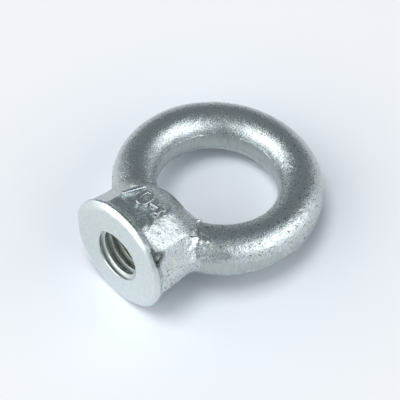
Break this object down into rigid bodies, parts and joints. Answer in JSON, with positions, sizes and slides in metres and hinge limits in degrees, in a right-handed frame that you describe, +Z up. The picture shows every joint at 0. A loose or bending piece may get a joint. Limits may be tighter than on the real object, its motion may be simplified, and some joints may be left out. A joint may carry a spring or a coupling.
{
  "type": "lifting eye nut",
  "caption": "Forged lifting eye nut: a round ring on a short faceted neck, with a flat round foot tapped M12 along its axis; it lies on its side.",
  "frame": {"origin": "on the surface that the nut lies on, under the middle of its length and width", "axes": "+X level from the foot towards the crown of the ring, +Y across the ring, +Z up. The thread's axis lies in the XZ plane and dips 8.7 degrees towards the ring, as the nut rests on its foot's rim and its ring"},
  "size_m": [0.053, 0.045, 0.0248],
  "materials": {
    "zinc_plated_steel": "bright zinc plate over drop-forged steel; satin and speckled on the forging, smoother on the turned foot face and in the thread"
  },
  "bodies": {
    "root": {"eye_nut": "zinc_plated_steel"}
  },
  "joints": []
}
